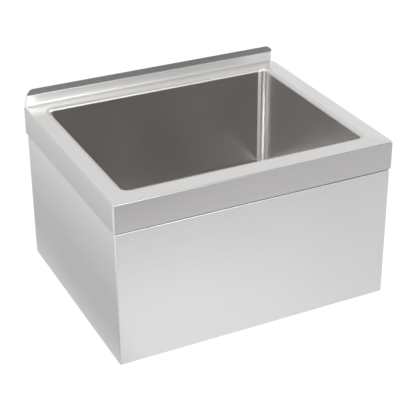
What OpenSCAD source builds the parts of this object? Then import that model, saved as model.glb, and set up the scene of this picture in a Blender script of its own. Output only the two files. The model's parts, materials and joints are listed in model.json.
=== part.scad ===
// Floor-standing mop service sink: a brushed steel bowl in a folded rim with a low
// rear upstand, on a closed casing with a pull-off front panel and levelling feet.
// Millimetres. +Z is up, +X is right, -Y is the front. The origin is on the floor,
// under the middle of the overall box.

/* [Overall] */
// Overall width, over the side skirts
width = 600; // [560:1:700]
// Overall depth, from the front skirt to the wall behind the upstand
depth = 500; // [480:1:600]
// Height of the deck above the floor
deck_height = 350; // [340:1:450]

/* [Rim and upstand] */
// Thickness of the folded rim sheet
rim_sheet = 1.5; // [1.2:0.1:2]
// Height of the skirt round the front and sides
skirt_height = 60; // [50:1:80]
// Height of the closed hem along the skirt's lower edge
skirt_hem = 12; // [8:1:20]
// Outer radius of the bend between deck and skirt
edge_bend_r = 2.5; // [2.2:0.1:4]
// Outer radius of the skirt's two vertical front corners
skirt_corner_r = 5; // [4.5:0.5:8]
// Height of the upstand's upright face above the deck
upstand_face = 24; // [18:1:60]
// Run and rise of the upstand's backward lip at 45 degrees
upstand_lip = 11; // [8:0.5:14]
// Width of the level crest along the lip's top edge
upstand_crest = 1; // [0.5:0.5:2]
// Height of the wall return that hangs behind the lip, down from the crest
upstand_return = 22; // [10:1:30]
// Inside radius of the cove between deck and upstand
upstand_cove_r = 6; // [3:0.5:8]
// How far each end of the upstand stands in from the skirt
upstand_inset = 4.5; // [2:0.5:20]
// Radius of the upstand's rounded top corners, seen from the front
upstand_top_r = 12; // [8:1:16]
// Outer radius of the upstand's folded ends, seen from above
upstand_end_r = 5; // [3:0.5:7]

/* [Bowl] */
// Width of each side rim, from the skirt to the bowl's inner face
side_rim = 42; // [40:0.5:60]
// Depth of the bowl from the deck to the foot of its walls
bowl_depth = 240; // [200:1:245]
// Width of the front rim, from the skirt to the bowl's inner face
front_rim = 48; // [46:0.5:60]
// Width of the rear rim, from the bowl's inner face to the wall behind the upstand
rear_rim = 42; // [36:0.5:60]
// Thickness of the bowl sheet
bowl_sheet = 1.2; // [0.9:0.1:1.4]
// Inside radius of the bowl's upright corners and of its floor edge
bowl_corner_r = 15; // [10:1:30]
// Radius of the bend from the deck down into the bowl
bowl_bend_r = 8; // [4:0.5:9]
// Width of the flat flange round the bowl that is welded to the rim
bowl_flange = 6; // [3:0.5:8]
// Fall of the bowl floor from its edge to the drain
floor_fall = 5; // [2:0.5:8]
// Radial play between the drain recess and the waste flange
recess_play = 1; // [0.5:0.5:2]
// Radius of the flat round the drain where the falls meet
drain_flat_r = 52; // [48:1:70]
// Depth of the drain recess below that flat
drain_recess = 4; // [3.5:0.5:6]
// Thickness of the sound deadening pad under the bowl floor
pad_thick = 3; // [2:0.5:4]
// Gap between the deadening pad and the waste fittings
pad_waste_gap = 10; // [4:1:30]
// Distance of the deadening pad from the bowl walls
pad_margin = 40; // [25:1:80]

/* [Casing] */
// Thickness of the casing sheet
case_sheet = 1.2; // [1:0.1:1.4]
// Height of the casing's lower edge above the floor
floor_gap = 1.5; // [1:0.5:5]
// Outer radius of the casing's folded edges
case_bend_r = 2.4; // [2:0.1:4]
// Width of the side panels' front and rear flanges
side_flange = 40; // [36:1:48]
// Height of the closed hem along the side panels' lower edges
side_hem = 12; // [8:1:16]
// Shadow gap between the skirt and the front panel
panel_top_gap = 3; // [2:0.5:6]
// Width of the closed hem round the front panel
panel_hem = 14; // [10:1:20]
// Gap between the front panel and the flanges behind it
panel_back_gap = 0.3; // [0.3:0.1:0.8]
// Height of the lower rails
low_rail_height = 45; // [30:1:60]
// Height of the lower rails' lower edge above the casing's lower edge
low_rail_lift = 14; // [14:1:30]
// Height of the upper front rail, measured down from the deck
front_rail_height = 100; // [96:1:110]
// Height of the upper rear rail, measured down from the deck
rear_rail_height = 52; // [40:1:80]
// Depth of the rails' stiffening flanges
rail_flange = 12; // [8:1:16]
// Distance between the two wall fixing holes
wall_hole_spacing = 400; // [200:10:460]
// Radius of the wall fixing holes
wall_hole_r = 4; // [3:0.5:5]
// Radius of the rivets' shanks
rivet_r = 2; // [1.6:0.1:2.4]
// Radius of the rivets' domed heads
rivet_head_r = 4; // [3.5:0.1:5]
// Height of the rivets' domed heads
rivet_head = 1.2; // [1:0.1:1.5]
// Distance between the two rivets at each rail end
rivet_pitch = 24; // [18:1:26]

/* [Panel catches] */
// Distance of the catches from the middle of the panel
catch_x = 235; // [180:1:245]
// Radius of the studs on the panel
stud_r = 3; // [2.5:0.1:4]
// Length of the studs behind the panel
stud_length = 14; // [12:1:20]
// Radial clearance between stud and grommet
stud_clearance = 0.08; // [0.05:0.01:0.1]
// Radius of the hole that the grommet fills in the rail
grommet_r = 5; // [4.5:0.1:7]
// Radius of the grommet's front flange
grommet_flange_r = 8; // [7.5:0.5:10]
// Thickness of the grommet's front flange
grommet_flange = 0.8; // [0.6:0.1:1]
// Length of the grommet behind the rail
grommet_length = 8; // [6:1:10]

/* [Feet] */
// Distance from the casing's inner faces to each foot's axis
foot_inset = 22; // [20:1:30]
// Radius of the foot pad
foot_pad_r = 18; // [14:1:20]
// Height of the foot pad
foot_pad_height = 12; // [9:0.5:16]
// Thickness of the pad's sole below its socket
foot_sole = 4; // [3:0.5:6]
// Width of the sloping shoulder round the foot pad
foot_shoulder = 6; // [4:0.5:7]
// Thickness of the collar that keeps the screw's round foot in the pad
foot_collar = 2; // [1.5:0.5:3]
// Radius of the foot screw
foot_screw_r = 5; // [4:0.5:6]
// Radius of the screw's round foot in the pad's socket
foot_ball_r = 7; // [6.5:0.5:9]
// Height of the hexagon that turns the screw
foot_hex_height = 5; // [4:0.5:6]
// Width across the corners of that hexagon
foot_hex = 17; // [15:0.5:19]
// Length of the foot screw above the pad
foot_screw_length = 62; // [56:1:70]
// Running clearance round the screw and in the socket
foot_clearance = 0.08; // [0.05:0.01:0.1]
// Free play between the collar and the round foot, and between the pad and the hexagon
foot_play = 0.3; // [0.3:0.05:0.5]
// Radial play between the screw and the holes in collar and bracket
foot_hole_play = 0.5; // [0.5:0.1:1]
// Height of the bracket plate's underside above the floor
bracket_z = 34; // [32:1:36]
// Thickness of the foot brackets
bracket_sheet = 2.5; // [2:0.1:3]
// Height of the brackets' welded upright flanges
bracket_upright = 22; // [16:1:28]
// Height of the weld nuts
weld_nut_height = 8; // [6:0.5:10]
// Width of the nuts across their corners
nut_width = 19; // [17:0.5:21]
// Height of the lock nuts under the brackets
lock_nut_height = 5; // [4:0.5:6]

/* [Waste] */
// Radius of the hole in the bowl for the waste
waste_hole_r = 30; // [29.6:0.1:32]
// Radius of the waste body's threaded cup
waste_cup_r = 29.4; // [29:0.1:29.5]
// Wall of the waste body
waste_wall = 1.6; // [1.2:0.1:2]
// Radius of the waste flange
waste_flange_r = 43; // [42:0.5:46]
// Thickness of the waste flange
waste_flange = 1.6; // [1.2:0.1:2]
// Width of the sloping mouth between flange and cup
waste_mouth = 2; // [1:0.5:2.5]
// Depth of the cup below the flange
waste_cup_depth = 31; // [30:0.5:34]
// Outer radius of the threaded tail, a 1 1/2 inch pipe thread
waste_tail_r = 23.9; // [22:0.1:25]
// Radius of the tail's bore
waste_bore_r = 20.5; // [18:0.5:21]
// Length of the threaded tail
waste_tail = 32; // [25:1:36]
// Thickness of each rubber seal on the waste
seal_thick = 1.5; // [1:0.1:2]
// Thickness of the friction ring
friction_ring = 1; // [0.8:0.1:1.5]
// Height of the back nut
back_nut_height = 10; // [8:0.5:12]
// Radius of the back nut
back_nut_r = 38; // [36:0.5:42]
// Height of the back nut's upper flange
back_nut_flange = 2; // [1.5:0.5:3]
// Number of lugs on the back nut
back_nut_lugs = 8; // [6:1:12]
// Width of each lug
lug_width = 7; // [5:0.5:9]
// How far each lug stands out of the back nut's body
lug_rise = 2.5; // [2:0.5:4]
// Radial width of the gap between nut and cup thread
nut_clearance = 0.05; // [0.05:0.01:0.1]
// Radial gap between basket and cup
basket_gap = 0.6; // [0.4:0.1:1]
// Sheet of the strainer basket
basket_sheet = 0.8; // [0.6:0.1:1]
// Height of the strainer basket
basket_height = 19; // [16:1:21]
// Height of the rim round the basket's top
basket_rim = 1.6; // [1.2:0.1:2]
// How far that rim stands out of the basket's side
basket_rim_lap = 0.4; // [0.3:0.1:0.8]
// Gap between the stopper and its seat
stopper_gap = 0.3; // [0.3:0.1:1]
// Thickness of the rubber stopper
stopper_thick = 4; // [3:0.5:5]
// How far the stopper overlaps its seat
stopper_lap = 3; // [2:0.5:4]
// Radius of the basket's lifting post
post_r = 3; // [2.5:0.1:4]
// Radius of the knob on the lifting post
knob_r = 9; // [7:0.5:11]
// Height of the knob's top above the bottom of the basket
knob_rise = 29; // [27:0.5:33]
// Height of the knob with its tapered neck
knob_height = 6; // [5:0.5:8]
// Width and height of the collar that holds the basket on the post
post_collar = 2; // [1.5:0.5:3]
// Radius of the holes in the basket
strainer_hole_r = 1.5; // [1:0.1:2]

/* [Earth tag] */
// Width of the earth tag
tag_width = 20; // [16:1:30]
// Height of the earth tag below the rear rail
tag_drop = 26; // [22:1:40]
// How far the tag laps the rail that it is welded to
tag_lap = 15; // [10:1:20]
// Radius of the earth screw
tag_screw_r = 3; // [2.5:0.5:4]
// Radius of its hexagonal head and nut over the corners
tag_hex_r = 5.8; // [5.5:0.1:7]
// Height of its head
tag_head = 4; // [3:0.5:5]
// Length of its shank
tag_shank = 16; // [12:1:20]
// Height of its nut
tag_nut = 5; // [4:0.5:6]
// Distance of the earth tag from the middle
tag_x = 120; // [60:1:160]

/* [Hidden] */
$fn = 48;
tiny = 0.01;
over = 1;
side_x = width / 2;
front_y = -depth / 2;
wall_y = depth / 2;
upstand_y = wall_y - upstand_lip;
deck_end_y = upstand_y + rim_sheet;
cove_y = upstand_y - upstand_cove_r;
cove_z = deck_height + upstand_cove_r;
top_z = deck_height + upstand_face + upstand_lip - upstand_crest;
upstand_x = side_x - upstand_inset;
skirt_z = deck_height - skirt_height;
under_deck = deck_height - rim_sheet;
hem_thick = 2 * rim_sheet;

bowl_width = width - 2 * side_rim;
bowl_length = depth - front_rim - rear_rim;
bowl_x = bowl_width / 2;
bowl_front = front_y + front_rim;
bowl_rear = bowl_front + bowl_length;
bowl_y = (bowl_front + bowl_rear) / 2;
opening_margin = bowl_bend_r + bowl_flange;
floor_z = deck_height - bowl_depth;
drain_flat_z = floor_z - floor_fall;
recess_z = drain_flat_z - drain_recess;
under_recess = recess_z - bowl_sheet;
recess_r = waste_flange_r + recess_play;

case_x = side_x - hem_thick;
case_front = front_y + hem_thick;
panel_thick = 2 * case_sheet;
flange_y = case_front + panel_thick + panel_back_gap;
case_in_x = case_x - case_sheet;
rail_front_y = flange_y + case_sheet;
rail_rear_y = deck_end_y - case_sheet;
rail_end_x = case_x - case_bend_r;
low_rail_z = floor_gap + low_rail_lift;
panel_top_z = skirt_z - panel_top_gap;
catch_low_z = low_rail_z + low_rail_height / 2;
catch_high_z = (deck_height - front_rail_height + panel_top_z - panel_hem) / 2;
rivet_x = case_x - (side_flange + case_bend_r) / 2;
rivet_low_z = low_rail_z + low_rail_height / 2;
rivet_high_z = (panel_top_z + under_deck) / 2;
wall_hole_z = under_deck - rear_rail_height / 2;

foot_x = case_in_x - foot_inset;
foot_front_y = rail_front_y + case_sheet + foot_inset;
foot_rear_y = rail_rear_y - case_sheet - foot_inset;
bracket_top = bracket_z + bracket_sheet;
socket_z = foot_sole + foot_clearance;

flange_seal_z = recess_z;
waste_z = flange_seal_z + seal_thick;
waste_top = waste_z + waste_flange;
cup_floor_z = waste_z - waste_cup_depth;
cup_in_r = waste_cup_r - waste_wall;
under_seal_z = under_recess - seal_thick;
ring_z = under_seal_z - friction_ring;
back_nut_z = ring_z - back_nut_height;
stopper_z = cup_floor_z + waste_wall + stopper_gap;
basket_z = stopper_z + stopper_thick;
basket_r = cup_in_r - basket_gap;
stopper_r = waste_bore_r + stopper_lap;

STEEL = [0.78, 0.78, 0.77];
STEEL_SHADE = [0.66, 0.66, 0.65];
RUBBER = [0.08, 0.08, 0.08];

// ---------- shared shapes ----------

// A rounded rectangle about the origin
module rounded_outline(w, l, r) {
    square([w - 2 * r, l], center = true);
    square([w, l - 2 * r], center = true);
    for (sx = [-1, 1], sy = [-1, 1])
        translate([sx * (w / 2 - r), sy * (l / 2 - r)])
            circle(r);
}

// A quarter of a ring of sheet about the origin, in the quadrant that sx and sy name
module bend(outer_r, sheet, sx, sy) {
    intersection() {
        difference() {
            circle(outer_r);
            circle(outer_r - sheet);
        }
        translate([sx < 0 ? -outer_r : 0, sy < 0 ? -outer_r : 0])
            square(outer_r);
    }
}

// Carries a profile along +X for a length; the profile's x points to -Y and its y up
module run(length) {
    rotate([90, 0, -90])
        translate([0, 0, -length / 2])
            linear_extrude(length)
                children();
}

// Carries a profile round a rectangle of w by l with plan corners of radius r.
// The profile's x is 0 on the rectangle's side and grows outwards, its y is height.
module round_the_bowl(w, l, r) {
    for (s = [0, 1])
        rotate(180 * s) {
            translate([0, -l / 2, 0])
                rotate([90, 0, 90])
                    translate([0, 0, -(w / 2 - r)])
                        linear_extrude(w - 2 * r)
                            mirror([1, 0])
                                children();
            translate([w / 2, 0, 0])
                rotate([90, 0, 0])
                    translate([0, 0, -(l / 2 - r)])
                        linear_extrude(l - 2 * r)
                            children();
            translate([w / 2 - r, l / 2 - r, 0])
                rotate_extrude(angle = 90)
                    translate([r, 0])
                        children();
            translate([w / 2 - r, r - l / 2, 0])
                rotate([0, 0, -90])
                    rotate_extrude(angle = 90)
                        translate([r, 0])
                            children();
        }
}

// ---------- rim ----------

// Section of the deck edge: x is 0 on the skirt's outer face, y is 0 on the deck
module skirt_section() {
    translate([-edge_bend_r, -edge_bend_r])
        bend(edge_bend_r, rim_sheet, 1, 1);
    translate([-rim_sheet, rim_sheet - skirt_height])
        square([rim_sheet, skirt_height - rim_sheet - edge_bend_r]);
    translate([-hem_thick, rim_sheet - skirt_height])
        square([hem_thick, skirt_hem - rim_sheet]);
    intersection() {
        translate([-rim_sheet, rim_sheet - skirt_height])
            circle(rim_sheet);
        translate([-hem_thick, -skirt_height])
            square([hem_thick, rim_sheet]);
    }
    translate([-skirt_corner_r, -rim_sheet])
        square([skirt_corner_r - edge_bend_r, rim_sheet]);
}

// The skirt along the front, round its two corners and along both sides
module skirt() {
    side_length = deck_end_y - front_y - skirt_corner_r;
    front_length = width - 2 * skirt_corner_r;
    translate([-front_length / 2, front_y, deck_height])
        rotate([90, 0, 90])
            linear_extrude(front_length)
                mirror([1, 0])
                    skirt_section();
    for (s = [0, 1])
        mirror([s, 0, 0]) {
            translate([side_x, deck_end_y, deck_height])
                rotate([90, 0, 0])
                    linear_extrude(side_length)
                        skirt_section();
            translate([side_x - skirt_corner_r, front_y + skirt_corner_r, deck_height])
                rotate([0, 0, -90])
                    rotate_extrude(angle = 90)
                        translate([skirt_corner_r, 0])
                            skirt_section();
        }
}

// The flat of the deck, lapping the skirt's flat, with the bowl's opening
module deck_flat() {
    flat_x = side_x - skirt_corner_r;
    flat_y = front_y + skirt_corner_r;
    lap = (skirt_corner_r - edge_bend_r) / 2;
    translate([0, 0, under_deck])
        linear_extrude(rim_sheet)
            difference() {
                union() {
                    translate([-flat_x, flat_y - lap])
                        square([2 * flat_x, deck_end_y - flat_y + lap]);
                    translate([-flat_x - lap, flat_y])
                        square([2 * (flat_x + lap), deck_end_y - flat_y]);
                }
                translate([0, bowl_y])
                    rounded_outline(bowl_width + 2 * opening_margin, bowl_length + 2 * opening_margin,
                                    bowl_corner_r + opening_margin);
                translate([upstand_end_r - upstand_x, cove_y])
                    square([2 * (upstand_x - upstand_end_r), upstand_lip + upstand_cove_r]);
            }
}

// One mitred quarter of the deck in plan, from the outer corners to the bowl's corners
module mitre(side) {
    reach = 1.5;
    ends = [[-side_x, front_y], [side_x, front_y], [side_x, deck_end_y], [-side_x, deck_end_y]];
    inner = [[-bowl_x, bowl_front], [bowl_x, bowl_front], [bowl_x, bowl_rear], [-bowl_x, bowl_rear]];
    a = side;
    b = (side + 1) % 4;
    translate([0, 0, skirt_z - over])
        linear_extrude(top_z - skirt_z + 2 * over)
            polygon([
                inner[a] + reach * (ends[a] - inner[a]), inner[b] + reach * (ends[b] - inner[b]),
                inner[b], inner[a]
            ]);
}

// The upstand's outer form, drawn in by e on every side
module upstand_form(e) {
    drop = e * sqrt(2);
    slope_z = deck_height + upstand_face - upstand_y;
    crest_y = wall_y - upstand_crest;
    end_x = upstand_x - upstand_end_r;
    top_x = upstand_x - upstand_top_r;
    intersection() {
        translate([-upstand_x + e, 0, 0])
            rotate([90, 0, 90])
                linear_extrude(2 * (upstand_x - e))
                    polygon([
                        [upstand_y + e, deck_height - over],
                        [upstand_y + e, slope_z + upstand_y + e - drop],
                        [crest_y - e, slope_z + crest_y - e - drop],
                        [wall_y - e, slope_z + crest_y - e - drop], [wall_y - e, deck_height - over]
                    ]);
        translate([0, 0, deck_height - over])
            linear_extrude(upstand_face + upstand_lip + 2 * over)
                union() {
                    for (s = [-1, 1])
                        translate([s * end_x, upstand_y + upstand_end_r])
                            circle(upstand_end_r - e);
                    translate([-upstand_x + e, upstand_y + upstand_end_r])
                        square([2 * (upstand_x - e), upstand_lip]);
                    translate([-end_x, upstand_y + e])
                        square([2 * end_x, upstand_lip]);
                }
        translate([0, wall_y + over, 0])
            rotate([90, 0, 0])
                linear_extrude(upstand_lip + 2 * over)
                    union() {
                        for (s = [-1, 1])
                            translate([s * top_x, top_z - upstand_top_r])
                                circle(upstand_top_r - e);
                        translate([-upstand_x + e, deck_height - over])
                            square([2 * (upstand_x - e), top_z - upstand_top_r - deck_height + over]);
                        translate([-top_x, deck_height - over])
                            square([2 * top_x, top_z - deck_height + over - e]);
                    }
    }
}

// Outline of the corner between deck and upstand, seen from its end and grown by e: x is
// 0 where the cove leaves the deck and grows towards the front, y is 0 at the cove's top
module cove_outline(e) {
    r = upstand_cove_r + e;
    lap = e > 0 ? over : 2 * over;
    circle(r);
    translate([0, -r])
        square([lap, r + lap]);
    translate([-r, 0])
        square([r + lap, lap]);
}

// The cove that turns the deck up into the upstand's face, lapping both
module cove() {
    length = 2 * (upstand_x - upstand_end_r);
    reach = upstand_cove_r + rim_sheet;
    translate([0, cove_y, cove_z])
        run(length)
            intersection() {
                difference() {
                    cove_outline(rim_sheet);
                    cove_outline(0);
                }
                translate([-reach, -reach])
                    square(reach + over);
            }
}

module upstand() {
    end_x = upstand_x - upstand_end_r;
    difference() {
        upstand_form(0);
        upstand_form(rim_sheet);
        translate([-side_x, upstand_y - over, deck_height - 2 * over])
            cube([width, upstand_lip + 2 * over, 2 * over - rim_sheet / 2]);
        translate([-side_x, deck_end_y, deck_height - 2 * over])
            cube([width, upstand_lip, 2 * over]);
        translate([-side_x, wall_y - rim_sheet - tiny, deck_height - over])
            cube([width, rim_sheet + over, top_z - deck_height - upstand_return + over]);
        translate([-end_x, upstand_y - over, deck_height - over])
            cube([2 * end_x, rim_sheet + over + tiny, upstand_cove_r + over]);
    }
    cove();
}

module rim_front() {
    color(STEEL) intersection() {
        union() {
            deck_flat();
            skirt();
        }
        mitre(0);
    }
}

module rim_right() {
    color(STEEL) intersection() {
        union() {
            deck_flat();
            skirt();
        }
        mitre(1);
    }
}

module rim_left() {
    color(STEEL) mirror([1, 0, 0]) rim_right();
}

module rim_rear_upstand() {
    color(STEEL) {
        intersection() {
            union() {
                deck_flat();
                skirt();
            }
            mitre(2);
        }
        upstand();
    }
}

// ---------- bowl ----------

// Section of the bowl: x is 0 on the wall's inner face, y is height above the floor
module bowl_section() {
    translate([bowl_bend_r, bowl_depth - bowl_bend_r])
        bend(bowl_bend_r, bowl_sheet, -1, 1);
    translate([bowl_bend_r, bowl_depth - bowl_sheet])
        square([bowl_flange, bowl_sheet]);
    translate([0, bowl_corner_r])
        square([bowl_sheet, bowl_depth - bowl_bend_r - bowl_corner_r]);
    translate([-bowl_corner_r, bowl_corner_r])
        bend(bowl_corner_r + bowl_sheet, bowl_sheet, 1, -1);
}

// The body over the floor's four falls, from drop below the sheet's top face to rise
// above the floor's edge; the falls meet in a round flat at the drain
module floor_falls(drop, rise) {
    hull() {
        translate([0, bowl_y, floor_z - drop])
            linear_extrude(drop + rise)
                square([bowl_width - 2 * bowl_corner_r, bowl_length - 2 * bowl_corner_r], center = true);
        translate([0, bowl_y, drain_flat_z - drop])
            cylinder(r = drain_flat_r, h = tiny, $fn = 32);
    }
}

module bowl() {
    color(STEEL_SHADE) difference() {
        union() {
            translate([0, bowl_y, floor_z])
                round_the_bowl(bowl_width, bowl_length, bowl_corner_r)
                    bowl_section();
            difference() {
                floor_falls(bowl_sheet, 0);
                floor_falls(0, over);
            }
            translate([0, bowl_y, under_recess])
                cylinder(r = recess_r + bowl_sheet, h = drain_recess + bowl_sheet / 2);
        }
        translate([0, bowl_y, recess_z])
            cylinder(r = recess_r, h = drain_recess + over);
        translate([0, bowl_y, under_recess - over])
            cylinder(r = waste_hole_r, h = drain_recess);
    }
}

module sound_deadening_pad() {
    pad_x = bowl_width - 2 * pad_margin;
    pad_y = bowl_length - 2 * pad_margin;
    color(RUBBER) difference() {
        intersection() {
            floor_falls(bowl_sheet + pad_thick, 0);
            translate([-pad_x / 2, bowl_y - pad_y / 2, 0])
                cube([pad_x, pad_y, deck_height]);
        }
        floor_falls(bowl_sheet, over);
        translate([0, bowl_y, 0])
            cylinder(r = recess_r + bowl_sheet + pad_waste_gap, h = deck_height);
    }
}

// ---------- casing ----------

// Outline of the right side panel in plan with its two bends, drawn in by e
module side_outline(e) {
    r = case_bend_r;
    back = e > 0 ? over : 0;
    low_y = flange_y + e;
    high_y = deck_end_y - e;
    translate([case_x - side_flange - back, low_y])
        square([side_flange - r + back, high_y - low_y]);
    translate([case_x - side_flange - back, flange_y + r])
        square([side_flange - e + back, deck_end_y - flange_y - 2 * r]);
    for (y = [flange_y + r, deck_end_y - r])
        translate([case_x - r, y])
            circle(r - e);
}

// Plan section of the right side panel: a sheet with a flange at each end
module side_section() {
    difference() {
        side_outline(0);
        side_outline(case_sheet);
    }
}

module side_panel_right() {
    top_flange = side_x - bowl_x - opening_margin - hem_thick;
    length = deck_end_y - flange_y - 2 * case_bend_r;
    color(STEEL) difference() {
        union() {
            translate([0, 0, floor_gap])
                linear_extrude(under_deck - floor_gap)
                    side_section();
            translate([case_in_x - case_sheet, flange_y + case_bend_r, floor_gap])
                cube([1.5 * case_sheet, length, side_hem]);
            translate([case_x - top_flange, flange_y + case_bend_r, under_deck - case_sheet])
                cube([top_flange - case_sheet / 2, length, case_sheet]);
        }
        rail_rivet_holes();
    }
}

module side_panel_left() {
    color(STEEL) mirror([1, 0, 0]) side_panel_right();
}

// The four places of a rail's rivets at height z
module rivet_places(y, z) {
    for (sx = [-1, 1], dz = [-rivet_pitch / 2, rivet_pitch / 2])
        translate([sx * rivet_x, y, z + dz])
            rotate([90, 0, 0])
                children();
}

// An upright rail web with stiffening flanges; front rails face -Y, rear rails +Y
module rail(y, z, height, dir, flanges) {
    translate([-rail_end_x, y, z])
        cube([2 * rail_end_x, case_sheet, height]);
    for (dz = flanges)
        translate([-rail_end_x + side_flange, dir > 0 ? y : y + case_sheet - rail_flange, z + dz])
            cube([2 * (rail_end_x - side_flange), rail_flange, case_sheet]);
}

module rail_rivet_holes() {
    for (y = [rail_front_y, rail_rear_y])
        translate([0, 3 * case_sheet, 0])
            rivet_places(y, rivet_low_z)
                cylinder(r = rivet_r, h = 6 * case_sheet);
    translate([0, 3 * case_sheet, 0])
        rivet_places(rail_front_y, rivet_high_z)
            cylinder(r = rivet_r, h = 6 * case_sheet);
    translate([0, 3 * case_sheet, 0])
        rivet_places(rail_rear_y, wall_hole_z)
            cylinder(r = rivet_r, h = 6 * case_sheet);
}

module front_upper_rail() {
    height = front_rail_height - rim_sheet;
    color(STEEL_SHADE) difference() {
        rail(rail_front_y, deck_height - front_rail_height, height, 1, [0, height - case_sheet]);
        rail_rivet_holes();
        grommet_holes();
    }
}

module front_lower_rail() {
    color(STEEL_SHADE) difference() {
        rail(rail_front_y, low_rail_z, low_rail_height, 1, [low_rail_height - case_sheet]);
        rail_rivet_holes();
        grommet_holes();
    }
}

module rear_upper_rail() {
    height = rear_rail_height;
    color(STEEL_SHADE) difference() {
        rail(rail_rear_y - case_sheet, under_deck - height, height, -1, [0, height - case_sheet]);
        rail_rivet_holes();
        for (s = [-1, 1])
            translate([s * wall_hole_spacing / 2, rail_rear_y + over, wall_hole_z])
                rotate([90, 0, 0])
                    cylinder(r = wall_hole_r, h = case_sheet + 2 * over);
    }
}

module rear_lower_rail() {
    color(STEEL_SHADE) difference() {
        rail(rail_rear_y - case_sheet, low_rail_z, low_rail_height, -1, [low_rail_height - case_sheet]);
        rail_rivet_holes();
    }
}

// One rivet along +Z: its factory head is above z = 0, its upset head below -grip
module rivet(grip) {
    cylinder(r1 = rivet_head_r, r2 = rivet_head_r / 2, h = rivet_head);
    translate([0, 0, -grip - rivet_head])
        cylinder(r1 = rivet_head_r / 2, r2 = rivet_head_r, h = rivet_head);
    translate([0, 0, -grip - rivet_head / 2])
        cylinder(r = rivet_r, h = grip + rivet_head);
}

module rail_rivets() {
    grip = 2 * case_sheet;
    color(STEEL_SHADE) {
        for (z = [rivet_low_z, rivet_high_z])
            rivet_places(flange_y, z)
                rivet(grip);
        for (z = [rivet_low_z, wall_hole_z])
            rivet_places(deck_end_y, z)
                mirror([0, 0, 1])
                    rivet(grip);
    }
}

// ---------- front panel and its catches ----------

module front_panel() {
    height = panel_top_z - floor_gap;
    r = case_sheet;
    color(STEEL) translate([0, case_front, floor_gap]) {
        translate([-case_x + r, 0, r])
            cube([2 * (case_x - r), case_sheet, height - 2 * r]);
        for (s = [-1, 1]) {
            translate([s * (case_x - r), r, r])
                cylinder(r = r, h = height - 2 * r);
            translate([s > 0 ? case_x - panel_hem : r - case_x, case_sheet, r])
                cube([panel_hem - r, case_sheet, height - 2 * r]);
            for (z = [r, height - r])
                translate([s * (case_x - r), r, z])
                    sphere(r);
        }
        for (z = [r, height - r])
            translate([r - case_x, r, z])
                rotate([0, 90, 0])
                    cylinder(r = r, h = 2 * (case_x - r));
        for (z = [r, height - panel_hem])
            translate([r - case_x, case_sheet, z])
                cube([2 * (case_x - r), case_sheet, panel_hem - r]);
    }
}

// The four catch axes, running towards +Y from the plane y
module catch_places(y) {
    for (sx = [-1, 1], z = [catch_low_z, catch_high_z])
        translate([sx * catch_x, y, z])
            rotate([-90, 0, 0])
                children();
}

module panel_studs() {
    nose = 2;
    color(STEEL_SHADE) catch_places(case_front + case_sheet) {
        cylinder(r = stud_r, h = stud_length - nose);
        translate([0, 0, stud_length - nose])
            cylinder(r1 = stud_r, r2 = stud_r / 2, h = nose);
    }
}

module grommet_holes() {
    catch_places(rail_front_y - over)
        cylinder(r = grommet_r, h = case_sheet + 2 * over);
}

module catch_grommets() {
    length = grommet_flange + case_sheet + grommet_length;
    color([0.15, 0.15, 0.16]) difference() {
        union() {
            catch_places(rail_front_y - grommet_flange)
                cylinder(r = grommet_flange_r, h = grommet_flange);
            catch_places(rail_front_y - grommet_flange / 2)
                cylinder(r = grommet_r, h = length - grommet_flange / 2);
        }
        catch_places(rail_front_y - grommet_flange - over)
            cylinder(r = stud_r + stud_clearance, h = length + 2 * over);
    }
}

// ---------- feet ----------

// Turns the front right corner's shape to the corner that sx and sy name
module foot_corner(sx, sy) {
    mirror([sx < 0 ? 1 : 0, 0, 0])
        translate([0, sy < 0 ? 0 : foot_rear_y + foot_front_y, 0])
            mirror([0, sy < 0 ? 0 : 1, 0])
                children();
}

// All four corners
module foot_corners() {
    for (sx = [-1, 1], sy = [-1, 1])
        foot_corner(sx, sy)
            children();
}

// An angle bracket welded to the side panel, with a hole for the foot screw
module foot_bracket(sx, sy) {
    size = 2 * foot_inset;
    color(STEEL_SHADE) foot_corner(sx, sy) difference() {
        translate([case_in_x - size, foot_front_y - foot_inset, bracket_z]) {
            cube([size, size, bracket_sheet]);
            translate([size - bracket_sheet, 0, 0])
                cube([bracket_sheet, size, bracket_upright]);
        }
        translate([foot_x, foot_front_y, bracket_z - over])
            cylinder(r = foot_screw_r + foot_hole_play, h = bracket_sheet + 2 * over);
    }
}

module foot_bracket_front_left() { foot_bracket(-1, -1); }
module foot_bracket_front_right() { foot_bracket(1, -1); }
module foot_bracket_rear_left() { foot_bracket(-1, 1); }
module foot_bracket_rear_right() { foot_bracket(1, 1); }

// A hexagon nut on the foot's axis, from z upwards
module foot_nut(z, height) {
    translate([foot_x, foot_front_y, z])
        difference() {
            cylinder(d = nut_width, h = height, $fn = 6);
            translate([0, 0, -over])
                cylinder(r = foot_screw_r + foot_clearance, h = height + 2 * over);
        }
}

module weld_nuts() {
    color(STEEL_SHADE) foot_corners()
        foot_nut(bracket_top, weld_nut_height);
}

module lock_nuts() {
    color(STEEL_SHADE) foot_corners()
        foot_nut(bracket_z - lock_nut_height, lock_nut_height);
}

// The plastic pad on the floor, with the socket that the screw turns in
module foot_pad(sx, sy) {
    edge = 1;
    hole_r = foot_screw_r + foot_hole_play;
    socket_r = foot_ball_r + foot_clearance;
    collar_z = foot_pad_height - foot_collar;
    color([0.12, 0.12, 0.13]) foot_corner(sx, sy) translate([foot_x, foot_front_y, 0])
        rotate_extrude()
            polygon([
                [0, 0], [foot_pad_r - edge, 0], [foot_pad_r, edge], [foot_pad_r, foot_sole],
                [foot_pad_r - foot_shoulder, foot_pad_height], [hole_r, foot_pad_height],
                [hole_r, collar_z], [socket_r, collar_z], [socket_r, foot_sole], [0, foot_sole]
            ]);
}

module foot_pad_front_left() { foot_pad(-1, -1); }
module foot_pad_front_right() { foot_pad(1, -1); }
module foot_pad_rear_left() { foot_pad(-1, 1); }
module foot_pad_rear_right() { foot_pad(1, 1); }

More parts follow.
